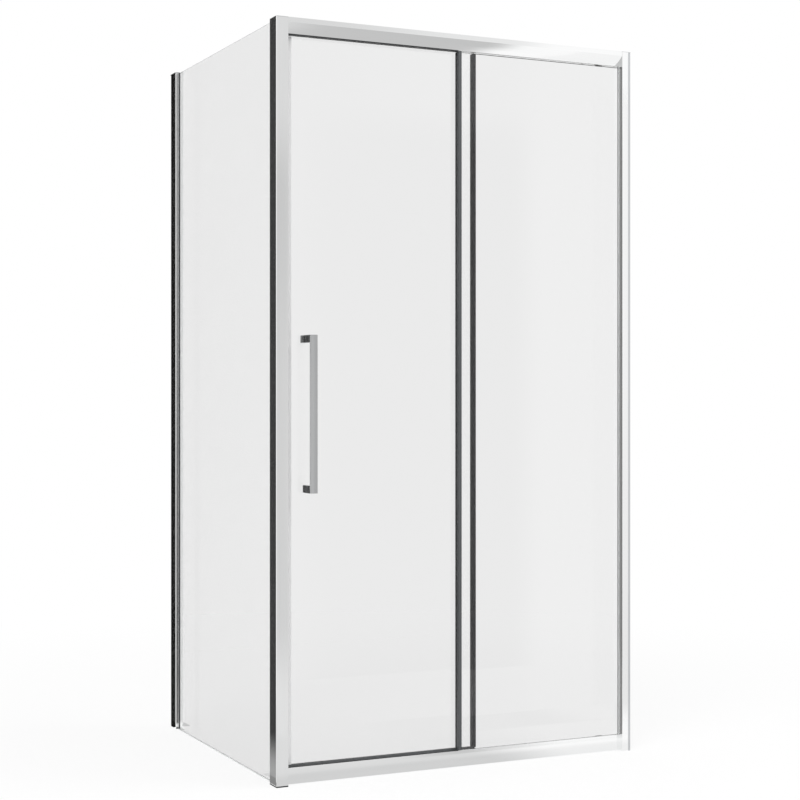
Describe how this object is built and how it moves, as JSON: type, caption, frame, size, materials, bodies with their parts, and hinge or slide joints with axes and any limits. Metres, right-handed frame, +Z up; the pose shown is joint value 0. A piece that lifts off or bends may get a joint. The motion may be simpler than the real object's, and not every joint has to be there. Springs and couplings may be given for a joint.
{
  "type": "shower enclosure",
  "caption": "Rectangular corner shower enclosure in bright metal and clear glass, with a sliding front door beside a fixed pane and a side pane that returns to the wall.",
  "frame": {"origin": "on the floor, in the middle of the enclosure's plan", "axes": "+X along the front from the corner post to the side wall, +Y into the shower, +Z up"},
  "size_m": [1.085, 0.9, 2],
  "materials": {
    "bright_aluminium": "polished and bright anodised, with a chrome look",
    "satin_aluminium": "satin anodised",
    "dark_aluminium": "dark grey anodised",
    "chrome_plate": "polished chrome plate",
    "clear_glass": "clear toughened glass with ground edges",
    "grey_seal": "soft extruded seal, satin",
    "magnet_strip": "extruded strip with a magnet core, satin",
    "cap_plastic": "moulded, metallised grey",
    "dark_plastic": "moulded, fine grained",
    "bumper_rubber": "moulded, matt",
    "stainless_steel": "turned and brushed",
    "white_nylon": "moulded, satin"
  },
  "bodies": {
    "frame": {"corner_post": "bright_aluminium", "corner_cover": "bright_aluminium", "corner_cap": "cap_plastic", "corner_foot": "dark_plastic", "corner_magnet_strip": "magnet_strip", "side_glass": "clear_glass", "side_gaskets": "grey_seal", "side_bottom_seal": "grey_seal", "side_wall_channel": "satin_aluminium", "side_jamb": "bright_aluminium", "side_jamb_screws": "stainless_steel", "side_wall_cap": "cap_plastic", "front_wall_channel": "satin_aluminium", "front_jamb": "bright_aluminium", "front_jamb_screws": "stainless_steel", "front_wall_cap": "cap_plastic", "top_rail": "bright_aluminium", "bottom_rail": "bright_aluminium", "rail_screws": "stainless_steel", "top_slot_filler": "dark_plastic", "bottom_slot_filler": "dark_plastic", "fixed_glass": "clear_glass", "fixed_gasket_top": "grey_seal", "fixed_gasket_bottom": "grey_seal", "fixed_gasket_jamb": "grey_seal", "fixed_edge_profile": "dark_aluminium", "fixed_edge_lip": "grey_seal", "door_bumpers": "bumper_rubber", "bumper_screws": "stainless_steel"},
    "door": {"door_glass": "clear_glass", "door_leading_profile": "bright_aluminium", "door_magnet_strip": "magnet_strip", "door_trailing_profile": "dark_aluminium", "door_trailing_lip": "grey_seal", "door_bottom_profile": "dark_aluminium", "door_bottom_wiper": "grey_seal", "handle_grip": "chrome_plate", "handle_standoff_upper": "chrome_plate", "handle_standoff_lower": "chrome_plate", "handle_gaskets": "bumper_rubber", "handle_bushes": "white_nylon", "handle_studs": "stainless_steel", "handle_inner_knob": "chrome_plate", "handle_inner_cap": "chrome_plate", "roller_axle_left": "stainless_steel", "roller_axle_right": "stainless_steel", "roller_bushes": "white_nylon", "roller_nuts": "stainless_steel", "roller_clips": "stainless_steel", "bottom_guide_housing_left": "white_nylon", "bottom_guide_housing_right": "white_nylon", "bottom_guide_bolts": "stainless_steel"},
    "roller_left": {"roller_wheel_left": "white_nylon", "roller_bearing_left": "stainless_steel"},
    "roller_right": {"roller_wheel_right": "white_nylon", "roller_bearing_right": "stainless_steel"},
    "bottom_guide_left": {"bottom_guide_shoe_left": "white_nylon"},
    "bottom_guide_right": {"bottom_guide_shoe_right": "white_nylon"}
  },
  "joints": [
    {"name": "door_slide", "type": "slide", "parent": "frame", "child": "door", "axis": [1, 0, 0], "range_m": [0, 0.4]},
    {"name": "roller_left_spin", "type": "hinge", "parent": "door", "child": "roller_left", "pos_m": [-0.4215, -0.41075, 1.9737], "axis": [0, 1, 0], "continuous": true},
    {"name": "roller_right_spin", "type": "hinge", "parent": "door", "child": "roller_right", "pos_m": [-0.0208, -0.41075, 1.9737], "axis": [0, 1, 0], "continuous": true},
    {"name": "guide_left_release", "type": "slide", "parent": "door", "child": "bottom_guide_left", "axis": [0, 0, 1], "range_m": [0, 0.006]},
    {"name": "guide_right_release", "type": "slide", "parent": "door", "child": "bottom_guide_right", "axis": [0, 0, 1], "range_m": [0, 0.006]}
  ],
  "couplings": [
    {"joint": "roller_left_spin", "follows": "door_slide", "rad_per_m": 86.957},
    {"joint": "roller_right_spin", "follows": "door_slide", "rad_per_m": 86.957}
  ]
}
